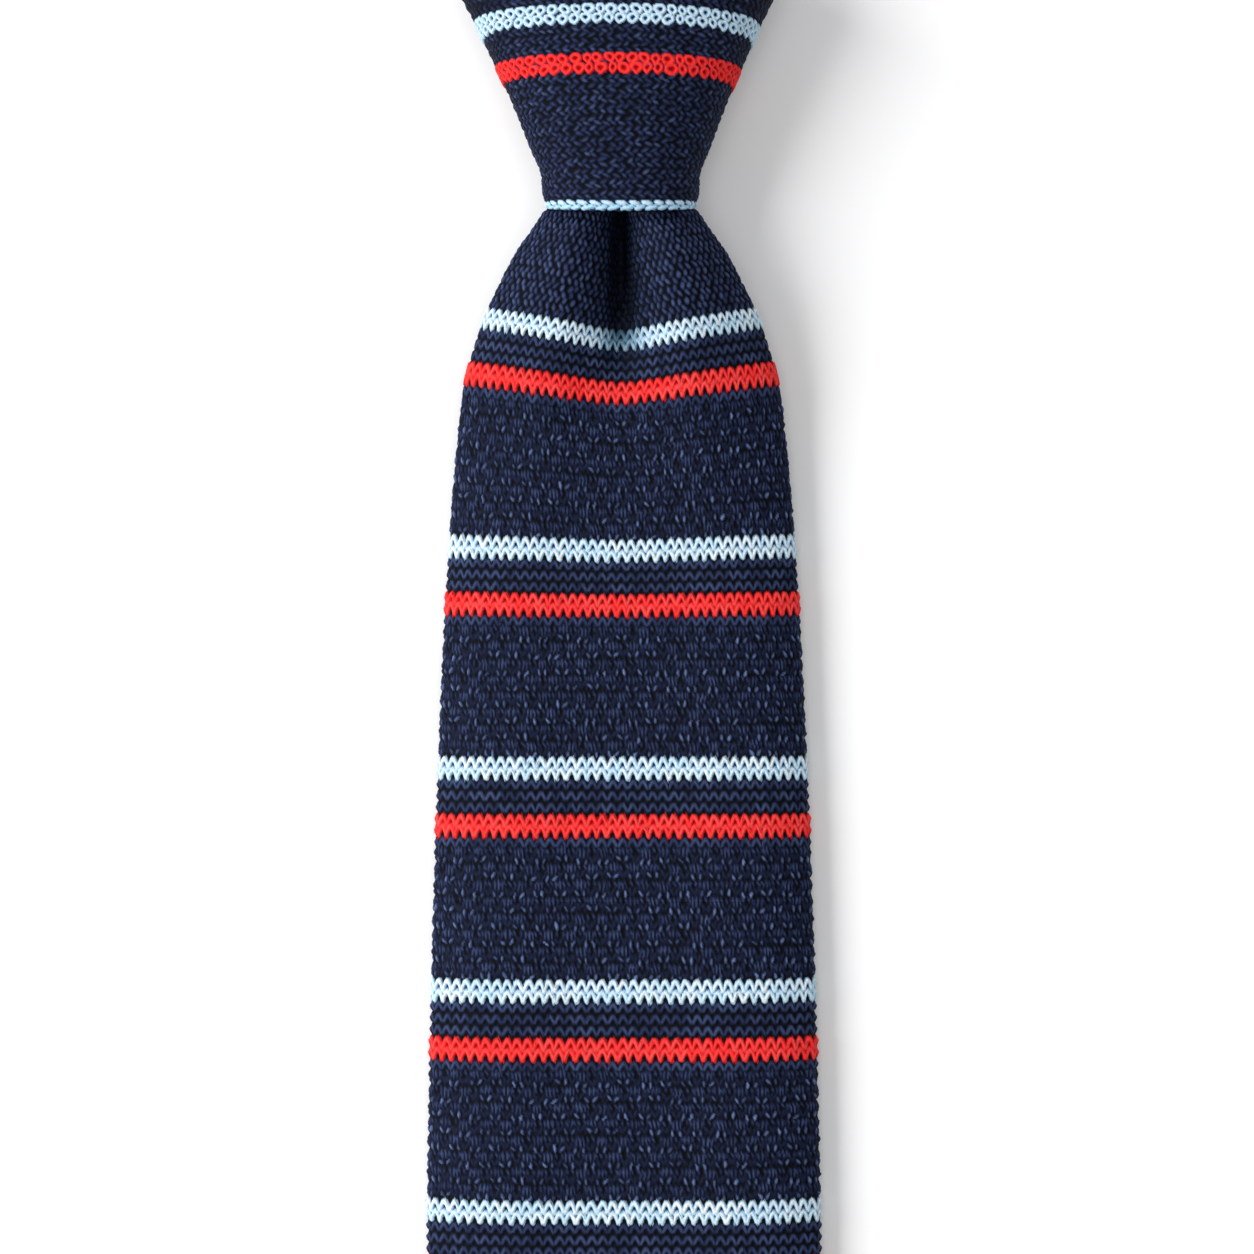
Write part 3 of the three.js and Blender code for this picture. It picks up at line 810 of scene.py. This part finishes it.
# Sections of the knot from hem to top: half its width, the heights of its front and back, how
# square its outline is, and how far its front leans towards the hem.
knotColumns = ("y", "half", "front", "back", "square", "slant")
knotOuter = [dict(zip(knotColumns, row)) for row in [
    (-17.6, 10.9, 18.3, 0.6, 2.5, 1.55),
    (-16.9, 11.1, 18.8, 0, 2.5, 1.55),
    (-15.6, 11.5, 19.1, 0, 2.5, 1.5),
    (-13.4, 11.6, 19.3, 0, 2.5, 1.3),
    (-9.2, 13.2, 20.3, 0, 2.4, 0.8),
    (-4.8, 14.9, 21.4, 0, 2.35, 0.4),
    (0, 16.9, 22.4, 0, 2.3, 0),
    (4.1, 18.8, 23.3, 0, 2.3, -0.3),
    (8.5, 20.8, 24.1, 0, 2.3, -0.6),
    (12.9, 23.1, 24.6, 0, 2.3, -0.6),
    (15.6, 24.0, 24.3, 0, 2.4, -0.3),
    (17.2, 23.2, 23.0, 0.5, 2.5, 0),
    (18, 21.6, 21.2, 1.9, 2.6, 0),
]]
knotInner = [dict(zip(knotColumns, row)) for row in [
    (-17.6, 8.9, 16.7, 2.1, 3.4, 1.55),
    (-16.9, 8.5, 16.4, 2.4, 3.4, 1.55),
    (-13.4, 8.6, 16.4, 2.5, 3.2, 1.3),
    (-9.2, 9.8, 17.0, 3.0, 2.8, 0.8),
    (-4.8, 11.3, 18.0, 3.4, 2.5, 0.4),
    (4.1, 15.2, 19.6, 3.6, 2.4, 0),
    (9.5, 17.7, 18.2, 4.6, 3, 0),
    (13.5, 18.3, 14.9, 7.1, 5, 0),
    (16.0, 18.4, 13.6, 8.4, 7, 0),
    (18, 18.9, 14.2, 7.8, 7, 0),
]]
knot = {
    "top": 18,
    "hem": -17.6,
    "sections": 120,
    "reach": 29.0,                  # arc to each side of the middle that carries stitches
    "innerReach": 0.45,             # share of the inner outline that lies behind it, to each side
    "columns": 340,
    "backColumns": 16,
    # Rows of points, in courses: start, stop and step.
    "rows": [(-5.8, -0.2, 0.2), (-0.2, 20.3, 0.125)],
    # Height of the courses on the front of the knot.
    "courses": [(-5.8, 18), (1, 8.69), (6, 1.80), (18.9, -17.42), (20.35, -19.15)],
    # The courses hang lower at the sides: left and right, and how much of it at each course.
    "hang": (0.7, 1.6),
    "hangAt": [(-5.8, 0), (-1, 1), (7, 1), (14, 0.5), (19, 0), (20.35, 0)],
    # How far it leans left at most, and the heights where that starts and ends.
    "drift": (-0.45, -17.6, 13),
    "flatUnder": 1.3,               # the underside rests on the surface where it is lower than this
    "underside": 0.02,
    # Height share and tone of the plain navy at the back and inside; the lower share inside blends in more
    # of the painted gap shade.
    "backLook": (0.45, 0.4),
    "insideLook": (0.3, 0.2),
}
# The stitches of the knot, in photo pixels where no note says otherwise. Dip and size are a
# base value and what is added to it, and loose is across and down.
knotStitch = {
    "course": 9.9,
    "drift": 2.2,                   # how far the stitches wander to a side
    # Its navy is slanting grains, with a dip in each course that is deeper at the sides.
    "field": {"pitch": 8.8, "rowPitch": 4.95, "stagger": 0.34, "grain": (5.0, 2.2), "turn": math.pi / 2,
              "lean": 0.55, "loose": 2.4, "salt": 22},
    "height": 0.73,
    "dip": (0.07, 0.23),
    "sideFrom": 115,
    "sideOver": 40,
    "tone": 0.9,
    # Its stripes are rings of yarn. Middles are those of the courses, in courses.
    "middles": {0: 0.54, 1: 0.46, 5: 0.54, 6: 0.46},
    "wale": 11.5,
    "shift": 3.1,                   # of every second course
    "ring": 3.9,
    "radius": 2.05,
    "ringTall": 0.97,
    "foot": (1.15, 1.35),
    "round": 0.45,                  # how round the foot of a ring is, the rest being pointed
    "size": (0.94, 0.13),
    "loose": (1.0, 1.2),
    "ringTone": 0.2,
}
# The rolled hem: two rows of slanting strands. It starts lower at the sides, by this much at
# this distance from the middle.
hem = {
    "from": 19.05,                  # in courses
    "pitch": 12.6,
    "lowered": 2.6,
    "loweredAt": 78,
    "strands": [
        {"drop": 3.7, "shift": 0, "lean": -0.3, "grain": (6.4, 3.0), "tone": 0.3},
        {"drop": 9.0, "shift": 5.5, "lean": 0.22, "grain": (7.6, 2.9), "tone": -0.1},
    ],
}


def ringRow(x, y, centre):
    # Round loops with an open middle and a pointed foot, in one course.
    look = knotStitch
    n = np.floor(x / look["wale"])
    size = varied(look["size"], chance(n, centre, 51))
    dx = (x - (n + 0.5) * look["wale"] + look["loose"][0] * (chance(n, centre, 52) - 0.5)) / size
    dy = (y - centre + look["loose"][1] * (chance(n, centre, 53) - 0.5)) / size
    rounded = np.hypot(dx / look["ring"], dy / (look["ring"] * look["ringTall"]))
    pointed = np.abs(dx) / (look["ring"] * look["foot"][0]) + dy / (look["ring"] * look["foot"][1])
    reach = np.where(dy > 0, look["round"] * rounded + (1 - look["round"]) * pointed, rounded)
    return dome(((reach - 1) * look["ring"] / look["radius"]) ** 2)


def knotStitches(across, course):
    # Height share, yarn and tone on the knot. `across` is the distance from its middle.
    look = knotStitch
    across = across + look["drift"] * wander(across / 11, course, 41)
    share, tone = grainField(across, course * look["course"], look["field"])
    atSide = np.clip((np.abs(across) - look["sideFrom"]) / look["sideOver"], 0, 1)
    share = share * (look["height"] - varied(look["dip"], atSide) * (1 + np.cos(2 * np.pi * course)))
    tone = tone ** 3 * look["tone"]
    yarn = np.zeros(across.shape, int)
    for k, middle in look["middles"].items():
        centre = (k + middle) * look["course"]
        drawn = ringRow(across + look["shift"] * (k % 2), course * look["course"], centre)
        inBand = (course > k - 0.05) & (course < k + 1.08)
        inHole = (course > k + 0.3) & (course < k + 0.7) & (share < 0.9)
        better = inBand & ((drawn > bare) | inHole)
        share, tone = np.where(better, drawn, share), np.where(better, look["ringTone"], tone)
        yarn = np.where(better, yarnNames.index(stripeCourses[k][0]), yarn)
    lowered = hem["lowered"] * np.minimum(np.abs(across) / hem["loweredAt"], 1.2) ** 4
    low = (course - hem["from"]) * look["course"] - lowered
    for strand in hem["strands"]:
        n = np.round((across - strand["shift"]) / hem["pitch"])
        dx = across - strand["shift"] - n * hem["pitch"]
        drawn = grain(dx, low - strand["drop"], math.pi / 2 + strand["lean"], *strand["grain"])
        better = (low > -1) & (drawn > bare)
        share = np.where(better, drawn, share)
        tone = np.where(better, strand["tone"], tone)
        yarn = np.where(better, yarnNames.index("sky"), yarn)
    return share, yarn, tone


def knotRing(rows, y, arcs):
    # Points round the knot at distances along its outline from the middle of its front.
    v = {name: float(follow(rows, name, np.array([y]))[0]) for name in knotColumns[1:]}
    angle = np.linspace(-np.pi / 2, 1.5 * np.pi, 721)
    c, s = np.cos(angle), np.sin(angle)
    reach = (np.abs(c) ** v["square"] + np.abs(s) ** v["square"]) ** (-1 / v["square"])
    centre, rise = (v["front"] + v["back"]) / 2, (v["front"] - v["back"]) / 2
    x = drifted(knot["drift"], y) - v["half"] * c * reach
    line = np.stack([x, y - v["slant"] * s * reach, centre + rise * s * reach], 1)
    length = lengthsOf(line)
    return pointsAt(line, length, (arcs(length[-1]) + length[-1] / 2) % length[-1])


def knotCloth():
    frontCount, backCount = knot["columns"] + 1, knot["backColumns"]
    around = frontCount + backCount
    share = np.linspace(-1, 1, frontCount)

    def arcsFor(reach, total):
        rest = np.linspace(reach, total - reach, backCount + 2)[1:-1]
        return np.concatenate([share * reach, rest])

    def outerArcs(total):
        return arcsFor(knot["reach"], total)

    def innerArcs(total):
        return arcsFor(total * knot["innerReach"], total)

    stations = np.linspace(knot["top"], knot["hem"], knot["sections"])
    outer = np.array([knotRing(knotOuter, y, outerArcs) for y in stations])
    frontHeight = stations - follow(knotOuter, "slant", stations)
    known, heights = np.array(knot["courses"]).T
    rows = inSteps(knot["rows"], known[-1])
    course = np.repeat(rows, around)
    y = np.interp(np.interp(course, known, heights), frontHeight[::-1], stations[::-1])
    side = np.tile(np.concatenate([share, np.linspace(1, -1, backCount + 2)[1:-1]]), len(rows))
    hang = np.where(side > 0, knot["hang"][1], knot["hang"][0]) * side ** 2
    y = y - hang * np.interp(course, *np.array(knot["hangAt"]).T)
    points = sample(outer, stations, np.tile(np.linspace(0, 1, around), len(rows)), y)
    z = points[:, 2]
    points[:, 2] = np.where(z < knot["flatUnder"], np.minimum(z, knot["underside"]), z)
    points = points.reshape(len(rows), around, 3)
    # Normals point out of the knot, as that of a point on its front does.
    normal = gridNormals(points)
    normal = normal if normal[40, frontCount // 2, 2] > 0 else -normal
    across = np.concatenate([share * knot["reach"], np.full(backCount, 1e4)]) / pixel
    high, yarn, tone = knotStitches(np.tile(across, len(rows)), course)
    isBack = np.tile(np.arange(around) >= frontCount, len(rows))
    high = np.where(isBack, knot["backLook"][0], high)
    tone = np.where(isBack, knot["backLook"][1], tone)
    yarn = np.where(isBack, 0, yarn)
    lift = (high * stitch["relief"] - stitch["sink"]).reshape(len(rows), around, 1)
    points = points + normal * lift
    shade = yarnColour(high, yarn, tone).reshape(len(rows), around, 3)
    inside = np.array([knotRing(knotInner, row["y"], innerArcs) for row in knotInner])
    points = np.concatenate([points, inside]).reshape(-1, 3)
    insideHigh, insideTone = (np.array([value]) for value in knot["insideLook"])
    lining = yarnColour(insideHigh, np.array([0]), insideTone)
    shade = np.concatenate([shade, np.broadcast_to(lining, (len(inside), around, 3))])
    points[:, 2] = np.maximum(points[:, 2], 0)
    return meshOf("knot_cloth", points, shade.reshape(-1, 3), len(rows) + len(inside), True)


knotPiece = knotCloth()
print("knot knitted")

for piece, node in [(knotPiece, "knot_wrap"), (tailPiece, "tail_blade"), (bandPiece, "neck_band"),
                    *((p, "front_blade") for p in bladePieces)]:
    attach(piece, "root")
    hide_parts(node)
print("pieces joined to the part")

# The white ground and the room's light, in metres.
stageLook = {"half": 6, "middle": (0, -0.08, 0), "under": 0.0001, "floor": 0.95, "dull": 0.9,
             "world": 0.34, "sky": (0.97, 0.985, 1, 1)}
lamps = [
    {"name": "window", "watts": 33.0, "size": 1.15, "from": (-1.3, 0.22, 0.97)},
    {"name": "ceiling", "watts": 5.6, "size": 0.9, "from": (0.15, 0.0, 1.3)},
]


def addFloor():
    half = stageLook["half"]
    corners = [(-half, -half, 0), (half, -half, 0), (half, half, 0), (-half, half, 0)]
    mesh = bpy.data.meshes.new("floor")
    mesh.from_pydata(corners, [], [(0, 1, 2, 3)])
    floor = bpy.data.objects.new("floor", mesh)
    floor.location = Vector(stageLook["middle"]) - Vector((0, 0, stageLook["under"]))
    bpy.context.scene.collection.objects.link(floor)
    material = bpy.data.materials.new("paper")
    material.use_nodes = True
    shader = material.node_tree.nodes["Principled BSDF"]
    shader.inputs["Base Color"].default_value = (stageLook["floor"],) * 3 + (1,)
    shader.inputs["Roughness"].default_value = stageLook["dull"]
    shader.inputs["Specular IOR Level"].default_value = 0
    mesh.materials.append(material)


def addLight():
    world = bpy.data.worlds.new("room")
    bpy.context.scene.world = world
    world.use_nodes = True
    back = world.node_tree.nodes["Background"]
    back.inputs["Color"].default_value = stageLook["sky"]
    back.inputs["Strength"].default_value = stageLook["world"]
    for look in lamps:
        light = bpy.data.lights.new(look["name"], "AREA")
        light.shape = "SQUARE"
        light.size = look["size"]
        light.energy = look["watts"]
        lamp = bpy.data.objects.new(look["name"], light)
        lamp.location = Vector(look["from"]) + Vector(stageLook["middle"])
        lamp.rotation_euler = (-Vector(look["from"])).to_track_quat("-Z", "Y").to_euler()
        lamp.visible_camera = False
        bpy.context.scene.collection.objects.link(lamp)


# Where the camera stands, how high the blade's face is, how far the camera is above that and
# how much of it fills the picture.
cameraLook = {"x": 0.88, "y": -79.3, "face": 8, "above": 615, "sees": 184.4, "sensor": 36}


def addCamera():
    look = cameraLook
    data = bpy.data.cameras.new("camera")
    data.sensor_width = look["sensor"]
    data.lens = look["sensor"] * look["above"] / look["sees"]
    camera = bpy.data.objects.new("camera", data)
    camera.location = (look["x"] * mm, look["y"] * mm, (look["face"] + look["above"]) * mm)
    camera.rotation_euler = (0, 0, 0)
    bpy.context.scene.collection.objects.link(camera)
    bpy.context.scene.camera = camera


addFloor()
addLight()
addCamera()
bpy.context.scene.view_settings.view_transform = "Standard"
print("stage, lamps and camera placed")
